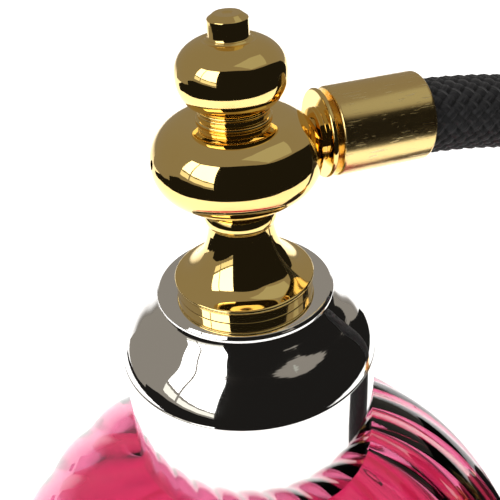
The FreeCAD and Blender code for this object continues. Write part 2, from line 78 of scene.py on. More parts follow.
PLATE_R, _, PLATE_Z = upright("collar_plate")
FERRULE_R, FERRULE_START, FERRULE_END = level("hose_ferrule")
SPRAY_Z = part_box("hose_ferrule")[0].z / MM + FERRULE_R
BULB_X = (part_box("rubber_bulb")[0].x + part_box("rubber_bulb")[1].x) / 2 / MM
STEM_R = 2.45
CROSS_BORE_R = 1.6
PIN_SHANK_R = 1.0
HOSE_BORE_R = 1.5
HOSE_SEAT_R = 2.9          # bore of the crimped sleeves, round the hose's own fittings
AIR_BORE_R = 0.8
HOSE_R = 3.7
HOSE_TUBE_R = 2.5
SHELL_WALL = 0.5
EDGE_ROUND = 0.05          # radius left on a turned edge by polishing
SEGMENTS = 192
FINE_SEGMENTS = 256        # for the broad mirrors
DRILL_SEGMENTS = 96

# Hose: the points that its line is drawn towards, in metres
HOSE_POINTS = [
    (0.01060, 0, 0.10670),
    (0.02640, 0, 0.10670),
    (0.04164, 0, 0.10039),
    (0.05331, 0, 0.08872),
    (0.05963, 0, 0.07347),
    (0.05963, 0, 0.05807),
]
HOSE_LENGTH = 0.080


def linked(name, data):
    """A new object of the scene, with this data."""
    made = bpy.data.objects.new(name, data)
    bpy.context.scene.collection.objects.link(made)
    return made


# ---- camera
LENS = 58.19
SENSOR = 36.0
STAND_OFF = 83.03          # from the plate's centre to the lens, in mm
CAMERA_TILT = math.radians(35.8)
CAMERA_SWING = math.radians(15.5)
AIM = (-0.0089, 0.0385, -0.0665)   # turns about the camera's own up, right and back axes


def place_camera():
    data = bpy.data.cameras.new("camera")
    data.lens = LENS
    data.sensor_width = SENSOR
    data.clip_start = 0.004
    data.clip_end = 10.0
    camera = linked("camera", data)
    out = Vector((-math.cos(CAMERA_TILT) * math.sin(CAMERA_SWING),
                  -math.cos(CAMERA_TILT) * math.cos(CAMERA_SWING),
                  math.sin(CAMERA_TILT)))
    turn = (-out).to_track_quat("-Z", "Y").to_matrix()
    yaw, pitch, roll = AIM
    turn = turn @ Matrix.Rotation(yaw, 3, "Y") @ Matrix.Rotation(pitch, 3, "X")
    turn = turn @ Matrix.Rotation(roll, 3, "Z")
    place = Vector((0, 0, PLATE_Z * MM)) + out * STAND_OFF * MM
    camera.matrix_world = Matrix.Translation(place) @ turn.to_4x4()
    bpy.context.scene.camera = camera


place_camera()


# ---- node boards
class Flow:
    """What comes out of a node. Arithmetic on it adds Math nodes to the same board."""

    def __init__(self, board, socket):
        self.board = board
        self.socket = socket

    def __add__(self, other):
        return self.board.maths("ADD", self, other)

    def __sub__(self, other):
        return self.board.maths("SUBTRACT", self, other)

    def __mul__(self, other):
        return self.board.maths("MULTIPLY", self, other)

    def __truediv__(self, other):
        return self.board.maths("DIVIDE", self, other)

    def __pow__(self, other):
        return self.board.maths("POWER", self, other)

    def __rsub__(self, other):
        return self.board.maths("SUBTRACT", other, self)

    def __neg__(self):
        return self.board.maths("MULTIPLY", self, -1.0)

    __radd__ = __add__
    __rmul__ = __mul__


class Step:
    """A node on a board, whose outputs are taken by name or by number."""

    def __init__(self, board, node):
        self.board = board
        self.node = node

    def out(self, key=0):
        return Flow(self.board, self.node.outputs[key])


class Board:
    """A node tree and the one way that nodes are added to it."""

    def __init__(self, tree):
        self.tree = tree

    def add(self, kind, settings=None, values=None):
        node = self.tree.nodes.new(kind)
        for key, value in (settings or {}).items():
            if key == "stops":
                self.set_stops(node, value)
            else:
                setattr(node, key, value)
        for key, value in (values or {}).items():
            if isinstance(value, Flow):
                self.tree.links.new(value.socket, node.inputs[key])
            else:
                node.inputs[key].default_value = value
        return Step(self, node)

    @staticmethod
    def set_stops(node, stops):
        ramp = node.color_ramp
        while len(ramp.elements) < len(stops):
            ramp.elements.new(0.5)
        for element, (place, value) in zip(ramp.elements, stops):
            element.position = place
            element.color = (value, value, value, 1)

    def node(self, kind, values):
        """The first output of a node that needs no settings."""
        return self.add(kind, None, values).out()

    def maths(self, operation, *values):
        inputs = dict(enumerate(values))
        return self.add("ShaderNodeMath", {"operation": operation}, inputs).out()

    def vector(self, operation, values, output="Vector"):
        return self.add("ShaderNodeVectorMath", {"operation": operation}, values).out(output)

    def whole_vector(self, x, y, z):
        return self.node("ShaderNodeCombineXYZ", {0: x, 1: y, 2: z})

    def parts(self, vector):
        step = self.add("ShaderNodeSeparateXYZ", None, {0: vector})
        return step.out(0), step.out(1), step.out(2)

    def colours(self, factor, first, second):
        values = {0: factor, 6: first, 7: second}
        return self.add("ShaderNodeMix", {"data_type": "RGBA"}, values).out(2)

    def ramp(self, value, *stops):
        return self.add("ShaderNodeValToRGB", {"stops": stops}, {0: value}).out()

    def place(self):
        return self.add("ShaderNodeTexCoord").out("Object")

    def noise(self, vector, scale, detail=3.0, roughness=0.5, distortion=0.0):
        values = {"Vector": vector, "Scale": scale, "Detail": detail, "Roughness": roughness,
                  "Distortion": distortion}
        return self.add("ShaderNodeTexNoise", None, values).out(0)

    def stretched(self, vector, scale):
        return self.node("ShaderNodeMapping", {"Vector": vector, "Scale": scale})

    def scaled(self, vector, share):
        return self.vector("SCALE", {0: vector, "Scale": share})

    def eased_step(self, value, start, end):
        """0 at start and 1 at end, with a soft beginning and end."""
        return self.add("ShaderNodeMapRange", {"interpolation_type": "SMOOTHSTEP"},
                        {0: value, 1: start, 2: end, 3: 0.0, 4: 1.0}).out()

    def bump(self, height, distance, strength):
        values = {"Height": height, "Distance": distance, "Strength": strength}
        return self.add("ShaderNodeBump", None, values).out()


def new_finish(name):
    material = bpy.data.materials.new(name)
    material.use_nodes = True
    material.node_tree.nodes.clear()
    return material, Board(material.node_tree)


def close_finish(board, shader):
    board.add("ShaderNodeOutputMaterial", None, {"Surface": shader})


def principled(board, values):
    return board.add("ShaderNodeBsdfPrincipled", None, values).out()


def solid_finish(board, values):
    close_finish(board, principled(board, values))


def lit_through(board, shader, tint):
    """Lets lamps shine through a clear finish, so that its shadow is only tinted."""
    clear = board.node("ShaderNodeBsdfTransparent", {"Color": tint})
    lamp_ray = board.add("ShaderNodeLightPath").out("Is Shadow Ray")
    return board.node("ShaderNodeMixShader", {0: lamp_ray, 1: shader, 2: clear})


# ---- finishes
def turned_lines(board, place, spacing):
    """Very fine rings that a lathe and a polishing mop leave round a piece."""
    height = board.parts(place)[2]
    wander = board.noise(place, 900.0, 2.0)
    return board.maths("SINE", height * (2 * math.pi / spacing) + wander * 3.0)


def mirror_metal(name, colour, warm, rough, smudge, specks):
    """Polished plate: faint smudges from handling, a trace of waviness and a few pin specks."""
    material, board = new_finish(name)
    place = board.place()
    broad = board.noise(place, 120.0, 4.0, 0.55, 0.6)
    fine = board.noise(place, 1400.0, 3.0)
    film = board.ramp(broad, (0.48, 0.0), (0.72, 1.0))
    cells = board.add("ShaderNodeTexVoronoi", None, {"Vector": place, "Scale": 420.0})
    seed = board.parts(cells.out("Color"))[0]
    rare = board.maths("GREATER_THAN", seed, 1.0 - specks)
    dot = rare * board.maths("LESS_THAN", cells.out("Distance"), 0.035)
    tint = board.colours(broad, (*colour, 1), (*warm, 1))
    tint = board.colours(dot, tint, (0.05, 0.045, 0.04, 1))
    roughness = rough + smudge * film * fine + 0.4 * dot
    height = board.noise(place, 260.0, 1.0) + turned_lines(board, place, 0.00016) * 0.012
    solid_finish(board, {
        "Base Color": tint,
        "Metallic": 1.0,
        "Roughness": roughness,
        "Normal": board.bump(height, 0.000012, 0.6),
    })
    return material


def satin_metal(name, colour, warm, along):
    """Drawn tube: streaks and hair scratches that run along it."""
    material, board = new_finish(name)
    place = board.place()
    long_streak, short_hair, fine_grain = 40.0, 260.0, 2600.0
    scale = [fine_grain] * 3
    scale[along] = long_streak
    streak = board.noise(board.stretched(place, scale), 1.0, 4.0, 0.6)
    scale[along] = short_hair
    hair = board.noise(board.stretched(place, scale), 1.7, 2.0, 0.7)
    cuts = board.ramp(hair, (0.60, 0.0), (0.68, 1.0))
    cloud = board.noise(place, 300.0, 3.0)
    tint = board.colours(cloud, (*colour, 1), (*warm, 1))
    tint = board.colours(cuts * 0.35, tint, (0.98, 0.88, 0.62, 1))
    roughness = 0.13 + streak * 0.16 + cuts * 0.1
    solid_finish(board, {
        "Base Color": tint,
        "Metallic": 1.0,
        "Roughness": roughness,
        "Normal": board.bump(streak * 0.5 - cuts * 0.5 + cloud, 0.000016, 0.7),
    })
    return material


def cranberry_glass():
    """Clear pink glass, with faint cords in it from the gather; lamps shine through it."""
    material, board = new_finish("cranberry_glass_finish")
    place = board.place()
    cords = board.noise(board.stretched(place, (1, 1, 0.35)), 90.0, 3.0, 0.5, 0.8)
    print_film = board.ramp(board.noise(place, 60.0, 5.0, 0.6), (0.55, 0.0), (0.75, 1.0))
    tint = board.colours(cords, GLASS_PALE, GLASS_DEEP)
    glass = principled(board, {
        "Base Color": tint,
        "Roughness": print_film * 0.035,
        "IOR": 1.5,
        "Transmission Weight": 1.0,
        "Normal": board.bump(cords, 0.00004, 0.35),
    })
    close_finish(board, lit_through(board, glass, GLASS_SHADOW))
    return material


def plaited_yarn(name, colour, paler_tone_and_sheen):
    """Black rayon yarn: several ends side by side in each strand, each with its own twist, with a
    random paler fuzz and a painted sheen that lightens the raised middle of each end.
    """
    material, board = new_finish(name)
    across = board.add("ShaderNodeAttribute", {"attribute_name": "across"}).out("Fac")
    along = board.add("ShaderNodeAttribute", {"attribute_name": "along"}).out("Fac")
    place = board.place()
    ends = board.maths("ABSOLUTE", board.maths("SINE", across * 5.2))
    twist = board.maths("SINE", along * 9000.0 + across * 6.0)
    fuzz = board.noise(place, 5200.0, 3.0, 0.6)
    height = ends * 0.6 + twist * 0.22 + fuzz * 0.5
    # Colour: random paler fuzz (real tone), plus painted sheen that lightens the raised middle of
    # each yarn end (ends * 0.2)
    tone_and_painted_sheen = board.colours(fuzz * 0.8 + ends * 0.2, (*colour, 1), (*paler_tone_and_sheen, 1))
    solid_finish(board, {
        "Base Color": tone_and_painted_sheen,
        "Roughness": 0.50 + fuzz * 0.25,
        "Sheen Weight": 0.06,
        "Sheen Roughness": 0.4,
        "Normal": board.bump(height, 0.00007, 0.9),
    })
    return material


def soft_rubber(name, colour, rough):
    """Moulded rubber with a dusty bloom and a fine grain."""
    material, board = new_finish(name)
    place = board.place()
    bloom = board.noise(place, 180.0, 4.0, 0.6)
    grain = board.noise(place, 6000.0, 2.0)
    dusty = tuple(min(1.0, c * 1.8 + 0.012) for c in colour)
    solid_finish(board, {
        "Base Color": board.colours(bloom, (*colour, 1), (*dusty, 1)),
        "Roughness": rough + bloom * 0.18,
        "Normal": board.bump(grain, 0.00002, 0.6),
    })
    return material


def moulded_plastic():
    material, board = new_finish("moulded_plastic_finish")
    place = board.place()
    flow = board.noise(place, 150.0, 3.0)
    pits = board.noise(place, 4200.0, 3.0)
    solid_finish(board, {
        "Base Color": board.colours(flow, (0.018, 0.018, 0.019, 1), (0.032, 0.031, 0.032, 1)),
        "Roughness": 0.34 + pits * 0.2,
        "Normal": board.bump(pits, 0.000025, 0.5),
    })
    return material


def clear_tube():
    """Milky polythene dip tube, with drawing lines along it."""
    material, board = new_finish("clear_tube_finish")
    place = board.place()
    lines = board.noise(board.stretched(place, (2600, 2600, 30)), 1.0, 3.0)
    tube = principled(board, {
        "Base Color": board.colours(lines, (0.93, 0.94, 0.94, 1), (0.84, 0.86, 0.86, 1)),
        "Roughness": 0.12 + lines * 0.12,
        "IOR": 1.5,
        "Transmission Weight": 0.85,
        "Normal": board.bump(lines, 0.00002, 0.5),
    })
    close_finish(board, lit_through(board, tube, TUBE_SHADOW))
    return material


def machined_metal(name, colour, dull):
    """Unplated turned metal, with tool rings and a slight tarnish."""
    material, board = new_finish(name)
    place = board.place()
    rings = turned_lines(board, place, 0.00025)
    tarnish = board.noise(place, 500.0, 4.0, 0.6)
    solid_finish(board, {
        "Base Color": board.colours(tarnish, (*colour, 1), (*dull, 1)),
        "Metallic": 1.0,
        "Roughness": 0.22 + tarnish * 0.16,
        "Normal": board.bump(rings, 0.000008, 0.7),
    })
    return material


GLASS_PALE = (0.76, 0.19, 0.34, 1)
GLASS_DEEP = (0.66, 0.11, 0.26, 1)
GLASS_SHADOW = (0.93, 0.62, 0.70, 1)
TUBE_SHADOW = (0.9, 0.9, 0.9, 1)
GOLD = (1.0, 0.76, 0.31)
GOLD_WARM = (0.95, 0.68, 0.24)
GOLD_DRAWN = (0.92, 0.66, 0.27)
SILVER = (0.93, 0.92, 0.90)
SILVER_WARM = (0.90, 0.89, 0.86)

FINISHES = {
    "polished_brass": mirror_metal("mirror_gold_finish", GOLD, GOLD_WARM, 0.035, 0.07, 0.004),
    "silver_plate": mirror_metal("mirror_silver_finish", SILVER, SILVER_WARM, 0.03, 0.06, 0.02),
    "gilt_ferrule": satin_metal("satin_gold_level_finish", GOLD, GOLD_DRAWN, 0),
    "gilt_upright": satin_metal("satin_gold_upright_finish", GOLD, GOLD_DRAWN, 2),
    "cranberry_glass": cranberry_glass(),
    "black_braid": plaited_yarn("black_yarn_finish", (0.0035, 0.0035, 0.004), (0.011, 0.011, 0.012)),
    "hose_rubber": soft_rubber("black_rubber_finish", (0.014, 0.014, 0.015), 0.5),
    "gasket_rubber": soft_rubber("white_rubber_finish", (0.60, 0.58, 0.53), 0.55),
    "black_plastic": moulded_plastic(),
    "clear_plastic": clear_tube(),
    "plain_brass": machined_metal("turned_brass_finish", (0.80, 0.60, 0.28), (0.58, 0.40, 0.17)),
    "valve_steel": machined_metal("ball_steel_finish", (0.68, 0.68, 0.70), (0.56, 0.56, 0.58)),
}


# ---- outlines
def arc_through(first, middle, last, step):
    """Points of the arc from first to last through middle, without first."""
    a, b, c = (complex(*p) for p in (first, middle, last))
    turn = ((b - a) * (c - b).conjugate()).imag
    if abs(turn) < 1e-9:
        return [middle, last]
    chord = (c - a) / (b - a)
    centre = a + (b - a) * (chord - abs(chord) ** 2) / (2j * chord.imag)
    start = a - centre
    ratio = (c - centre) / start
    sweep = math.atan2(ratio.imag, ratio.real)
    if turn < 0 and sweep < 0:
        sweep += 2 * math.pi
    if turn > 0 and sweep > 0:
        sweep -= 2 * math.pi
    count = max(4, math.ceil(abs(sweep) * abs(start) / step))
    points = []
    for i in range(1, count + 1):
        share = sweep * i / count
        p = centre + start * complex(math.cos(share), math.sin(share))
        points.append((p.real, p.imag))
    return points


def smooth_through(points, step):
    """Points of a natural cubic curve through the given ones, without the first."""
    p = np.array(points, float)
    h = np.linalg.norm(np.diff(p, axis=0), axis=1)
    count = len(p)
    matrix = np.eye(count)
    right = np.zeros((count, 2))
    for i in range(1, count - 1):
        matrix[i, i - 1:i + 2] = h[i - 1], 2 * (h[i - 1] + h[i]), h[i]
        right[i] = 6 * ((p[i + 1] - p[i]) / h[i] - (p[i] - p[i - 1]) / h[i - 1])
    bend = np.linalg.solve(matrix, right)
    out = []
    for i, span in enumerate(h):
        pieces = max(2, math.ceil(span / step))
        for k in range(1, pieces + 1):
            u = span * k / pieces
            v = span - u
            q = (bend[i] * v ** 3 + bend[i + 1] * u ** 3) / (6 * span)
            q = q + (p[i] / span - bend[i] * span / 6) * v
            q = q + (p[i + 1] / span - bend[i + 1] * span / 6) * u
            out.append((float(q[0]), float(q[1])))
    return out


def straight(first, last, step):
    count = max(1, math.ceil(math.dist(first, last) / step)) if step else 1
    return [(first[0] + (last[0] - first[0]) * i / count,
             first[1] + (last[1] - first[1]) * i / count) for i in range(1, count + 1)]


def outline(start, *steps, step=0.12, line_step=None):
    """The points of a closed outline and the numbers of its joints. A step is a point for a
    straight line, a pair of points for an arc through the first, or a list for a smooth curve."""
    points = [start]
    joints = {0}
    for item in steps:
        here = points[-1]
        if isinstance(item, list):
            points += smooth_through([here] + item, step)
        elif isinstance(item[0], tuple):
            points += arc_through(here, item[0], item[1], step)
        else:
            points += straight(here, item, line_step)
        joints.add(len(points) - 1)
    return points, joints


def eased(points, joints):
    """The outline with a small round on each corner, held by a close line on each side."""
    out = []
    count = len(points)
    for i, p in enumerate(points):
        before = Vector(points[i - 1])
        after = Vector(points[(i + 1) % count])
        here = Vector(p)
        back, ahead = before - here, after - here
        on_axis = p[0] < 1e-6
        if i not in joints or on_axis or back.length < 1e-6 or ahead.length < 1e-6:
            out.append(p)
            continue
        turn = math.pi - back.angle(ahead)
        reach = min(EDGE_ROUND, 0.3 * back.length, 0.3 * ahead.length)
        if turn < math.radians(14) or reach < 0.004:
            out.append(p)
            continue
        back.normalize()
        ahead.normalize()
        hold = 1.6 * reach
        out.append(tuple(here + back * hold))
        for share in (0.0, 0.5, 1.0):
            near = here + back * reach * (1 - share)
            far = here + ahead * reach * share
            out.append(tuple(near.lerp(far, share)))
        out.append(tuple(here + ahead * hold))
    return out


def half_oval(wide, tall, power, centre, first, last, count):
    """Points of a superellipse quarter from one share of its turn to another."""
    points = []
    for i in range(count + 1):
        turn = math.radians(first + (last - first) * i / count)
        across = abs(math.cos(turn)) ** (2 / power)
        up = abs(math.sin(turn)) ** (2 / power)
        points.append((wide * across, centre + math.copysign(tall * up, turn)))
    return points


# ---- turning
def upright_lay(p):
    return p


def level_lay(p):
    return (p[2], p[1], SPRAY_Z - p[0])


def hanging_lay(p):
    return (p[0] + BULB_X, p[1], p[2])


def turned_mesh(name, points, lay=upright_lay, segments=SEGMENTS):
    """A closed mesh of revolution, with one vertex where the outline meets the axis."""
    verts = []
    rings = []
    for r, z in points:
        if r < 1e-6:
            rings.append([len(verts)] * segments)
            verts.append(lay((0.0, 0.0, z)))
            continue
        rings.append(list(range(len(verts), len(verts) + segments)))
        for k in range(segments):
            turn = 2 * math.pi * k / segments
            verts.append(lay((r * math.cos(turn), r * math.sin(turn), z)))
    faces = []
    for one, two in zip(rings, rings[1:] + rings[:1]):
        if one[0] == one[1] and two[0] == two[1]:
            continue
        for k in range(segments):
            j = (k + 1) % segments
            face = (one[k], one[j], two[j], two[k])
            faces.append(tuple(dict.fromkeys(face)))
    mesh = bpy.data.meshes.new(name)
    mesh.from_pydata([[c * MM for c in v] for v in verts], [], faces)
    tidy_mesh(mesh)
    return mesh


def tidy_mesh(mesh, sharp=math.radians(35)):
    work = bmesh.new()
    work.from_mesh(mesh)
    bmesh.ops.recalc_face_normals(work, faces=work.faces)
    work.to_mesh(mesh)
    work.free()
    mesh.shade_smooth()
    mesh.set_sharp_from_angle(angle=sharp)


def piece(mesh, finish):
    mesh.materials.clear()
    mesh.materials.append(FINISHES[finish])
    return linked(mesh.name, mesh)


def settle(made, body, slot, *nodes):
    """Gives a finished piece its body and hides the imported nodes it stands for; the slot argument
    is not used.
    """
    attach(made, body)
    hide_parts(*nodes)
    return made


def turned(name, node, body, slot, *steps, finish=None, lay=upright_lay, segments=SEGMENTS):
    """A turned piece that stands for a node. Its finish is its slot's unless another is named."""
    mesh = turned_mesh(name, eased(*outline(*steps)), lay, segments)
    return settle(piece(mesh, finish or slot), body, slot, node)


def baked(made, name):
    """The piece's mesh with its modifiers worked in, and the helper object removed."""
    view = bpy.context.evaluated_depsgraph_get()
    mesh = bpy.data.meshes.new_from_object(made.evaluated_get(view), preserve_all_data_layers=True,
                                           depsgraph=view)
    bpy.data.objects.remove(made)
    mesh.name = name
    return mesh


# ---- geometry node trees
def new_tree(name, inputs):
    """A geometry node tree with a geometry way through and named inputs."""
    tree = bpy.data.node_groups.new(name, "GeometryNodeTree")
    tree.interface.new_socket("Geometry", in_out="INPUT", socket_type="NodeSocketGeometry")
    for label, kind in inputs:
        tree.interface.new_socket(label, in_out="INPUT", socket_type="NodeSocket" + kind)
    tree.interface.new_socket("Geometry", in_out="OUTPUT", socket_type="NodeSocketGeometry")
    board = Board(tree)
    return tree, board, board.add("NodeGroupInput")


def close_tree(board, given, geometry):
    """Ends a tree with a real mesh that wears the named finish."""
    real = board.node("GeometryNodeRealizeInstances", {0: geometry})
    done = board.node("GeometryNodeSetMaterial",
                      {"Geometry": real, "Material": given.out("Finish")})
    board.add("NodeGroupOutput", None, {0: done})


def use_tree(made, tree, values):
    modifier = made.modifiers.new(tree.name, "NODES")
    modifier.node_group = tree
    for item in tree.interface.items_tree:
        if item.in_out == "INPUT" and item.name in values:
            modifier[item.identifier] = values[item.name]
    made.update_tag()


RIBS_START = (-1.02, -0.75)   # latitudes between which the ribs rise, above the foot
RIBS_END = (1.36, 1.14)       # and between which they die away, under the neck


def swirl_tree():
    """Presses swirled ribs into a turned globe, and raises the screw ridge on its neck."""
    tree, board, given = new_tree("swirled_ribs", [
        ("Ribs", "Int"), ("Depth", "Float"), ("Swirl", "Float"), ("Globe height", "Float"),
        ("Neck foot", "Float"), ("Wall middle", "Float"), ("Neck radius", "Float"),
        ("Ridge height", "Float"), ("Ridge start", "Float"), ("Ridge turns", "Float"),
        ("Pitch", "Float"), ("Ridge width", "Float"), ("Finish", "Material"),
    ])
    place = board.add("GeometryNodeInputPosition").out()
    x, y, z = board.parts(place)
    radius = board.maths("SQRT", x * x + y * y)
    angle = board.maths("ARCTAN2", y, x)
    rise = z - given.out("Globe height")
    latitude = board.maths("ARCTAN2", rise, radius)
    reach = board.maths("SQRT", radius * radius + rise * rise)
    phase = (angle - latitude * given.out("Swirl")) * given.out("Ribs")
    wave = (board.maths("COSINE", phase) * 0.5 + 0.5) ** 0.6
    low = board.eased_step(latitude, *RIBS_START)
    high = board.eased_step(latitude, *RIBS_END)
    inside = board.maths("LESS_THAN", reach, given.out("Wall middle"))
    depth = given.out("Depth") * (wave - 1.0) * low * high * (1.0 - inside * 0.45)
    outward = board.vector("NORMALIZE", {0: board.whole_vector(x, y, rise)})
    ribbed = board.scaled(outward, depth)
    # screw ridge, right-handed: its height rises with the angle
    share = board.maths("FRACT", angle / (2 * math.pi) + 1.0)
    start = given.out("Ridge start")
    above = (z - start) / given.out("Pitch") - share
    turns_up = board.maths("ROUND", above)
    along = turns_up + share
    off = board.maths("ABSOLUTE", above - turns_up) * given.out("Pitch")
    run = board.maths("GREATER_THAN", along, 0.0) * board.maths("LESS_THAN", along,
                                                                given.out("Ridge turns"))
    on_neck = board.maths("GREATER_THAN", radius, given.out("Neck radius"))
    on_neck = on_neck * board.maths("GREATER_THAN", z, given.out("Neck foot"))
    crest = board.eased_step(off, given.out("Ridge width"), given.out("Ridge width") * 0.5)
    lift = given.out("Ridge height") * crest * run * on_neck
    ridge = board.scaled(board.vector("NORMALIZE", {0: board.whole_vector(x, y, 0.0)}), lift)
    offset = board.vector("ADD", {0: ribbed, 1: ridge})
    shaped = board.node("GeometryNodeSetPosition",
                        {"Geometry": given.out("Geometry"), "Offset": offset})
    close_tree(board, given, shaped)
    return tree


def weave_tree(name, about_axis):
    """Plaits strands both ways round a line, or round the surface that a side line turns."""
    tree, board, given = new_tree(name, [
        ("Strands", "Int"), ("Turns", "Float"), ("Radius", "Float"), ("Rise", "Float"),
        ("Width", "Float"), ("Thickness", "Float"), ("Samples", "Int"), ("Length", "Float"),
        ("Widest", "Float"), ("Finish", "Material"),
    ])
    line = board.add("GeometryNodeCurvePrimitiveLine").out()
    fine = board.node("GeometryNodeResampleCurve",
                      {"Curve": line, "Count": given.out("Samples")})
    copies = board.add("GeometryNodeDuplicateElements", {"domain": "SPLINE"},
                       {"Geometry": fine, "Amount": given.out("Strands") * 2.0})
    number = copies.out("Duplicate Index")
    second = board.maths("GREATER_THAN", number, given.out("Strands") - 0.5)
    way = 1.0 - second * 2.0
    t = board.add("GeometryNodeSplineParameter").out("Factor")
    turns = way * given.out("Turns") * t
    angle = (number / given.out("Strands") + turns) * (2 * math.pi)
    over = board.maths("COSINE", given.out("Turns") * given.out("Strands") * t * (2 * math.pi)) * way
    sampled = board.add("GeometryNodeSampleCurve", {"mode": "FACTOR", "use_all_curves": True},
                        {"Curves": given.out("Geometry"), "Factor": t})
    at, heading = sampled.out("Position"), sampled.out("Tangent")
    cosine, sine = board.maths("COSINE", angle), board.maths("SINE", angle)
    if about_axis:
        reach, _, height = board.parts(at)
        slope_x, _, slope_z = board.parts(heading)
        outward = board.whole_vector(slope_z * cosine, slope_z * sine, -slope_x)
        foot = board.whole_vector(reach * cosine, reach * sine, height)
        size = board.maths("MAXIMUM", reach / given.out("Widest"), 0.3)
    else:
        side = (0.0, 1.0, 0.0)
        up = board.vector("CROSS_PRODUCT", {0: heading, 1: side})
        outward = board.vector("ADD", {0: board.scaled(up, cosine), 1: board.scaled(side, sine)})
        foot = at
        size = 1.0
    push = given.out("Rise") * over + given.out("Radius")
    place = board.vector("ADD", {0: foot, 1: board.scaled(outward, push)})
    laid = board.node("GeometryNodeSetPosition",
                      {"Geometry": copies.out(0), "Position": place})
    faced = board.add("GeometryNodeSetCurveNormal", {"mode": "FREE"},
                      {"Curve": laid, "Normal": outward}).out()
    marked = board.add("GeometryNodeStoreNamedAttribute", {"data_type": "FLOAT", "domain": "POINT"},
                       {"Geometry": faced, "Name": "along", "Value": t * given.out("Length")}).out()
    ring = board.add("GeometryNodeCurvePrimitiveCircle", {"mode": "RADIUS"},
                     {"Resolution": 6, "Radius": 1.0}).out()
    ring_x, ring_y, _ = board.parts(board.add("GeometryNodeInputPosition").out())
    named = board.add("GeometryNodeStoreNamedAttribute", {"data_type": "FLOAT", "domain": "POINT"},
                      {"Geometry": ring, "Name": "across", "Value": ring_y}).out()
    flat = board.node("GeometryNodeSetPosition", {
        "Geometry": named,
        "Position": board.whole_vector(ring_x * given.out("Thickness") * 0.5,
                                       ring_y * given.out("Width") * 0.5, 0.0),
    })
    skin = board.node("GeometryNodeCurveToMesh",
                      {"Curve": marked, "Profile Curve": flat, "Scale": size, "Fill Caps": True})
    close_tree(board, given, skin)
    return tree


def open_line(name, kind, places):
    """A curve object with one open spline."""
    data = bpy.data.curves.new(name, "CURVE")
    data.dimensions = "3D"
    spline = data.splines.new(kind)
    spline.points.add(len(places) - 1)
    for point, place in zip(spline.points, places):
        point.co = (*place, 1)
    return linked(name, data)


def hose_line_object(name, bevel=0.0):
    """The hose's own line: one NURBS spline with the route's points."""
    made = open_line(name, "NURBS", HOSE_POINTS)
    made.data.resolution_u = 24
    made.data.bevel_depth = bevel
    made.data.bevel_resolution = 10
    made.data.use_fill_caps = True
    spline = made.data.splines[0]
    spline.order_u = 3
    spline.use_endpoint_u = True
    return made


# ---- hose
# Strands each way, turns of each strand, then the yarn's sizes in millimetres
HOSE_YARN = {"Strands": 16, "Turns": 3.56, "Width": 1.14, "Thickness": 0.5, "Rise": 0.16}
BULB_YARN = {"Strands": 34, "Turns": 0.56, "Width": 2.0, "Thickness": 0.5, "Rise": 0.14}


def plaited(line, name, tree, yarn, outside, samples, length, widest=1.0):
    """The mesh of yarn plaited round a line, whose outside is given in millimetres."""
    values = dict(yarn, Radius=outside - yarn["Rise"] - yarn["Thickness"] / 2)
    for size in ("Radius", "Rise", "Width", "Thickness"):
        values[size] *= MM
    values.update(Samples=samples, Length=length, Widest=widest, Finish=FINISHES["black_braid"])
    use_tree(line, tree, values)
    return baked(line, name)


def yarn_piece(mesh, node):
    tidy_mesh(mesh, math.radians(80))
    return settle(piece(mesh, "black_braid"), "head", "black_braid", node)


def hose_braid():
    tree = weave_tree("plaited_sleeve", False)
    mesh = plaited(hose_line_object("hose_line"), "hose_plait", tree, HOSE_YARN, HOSE_R, 370,
                   HOSE_LENGTH)
    return yarn_piece(mesh, "hose_braid")


def hose_core():
    mesh = baked(hose_line_object("hose_core_line", HOSE_TUBE_R * MM), "hose_core")
    tidy_mesh(mesh)
    return settle(piece(mesh, "hose_rubber"), "head", "hose_rubber", "hose_tube")


def hose_path():
    line = hose_line_object("hose_path_line")
    mesh = bpy.data.meshes.new_from_object(line)
    path = [tuple(v.co) for v in mesh.vertices]
    bpy.data.objects.remove(line)
    return path


plait = hose_braid()
core = hose_core()


# ---- globe
RIBS = 20
RIB_DEPTH = 0.45
RIB_SWIRL = 0.8            # turn of a rib, in radians for each radian of latitude


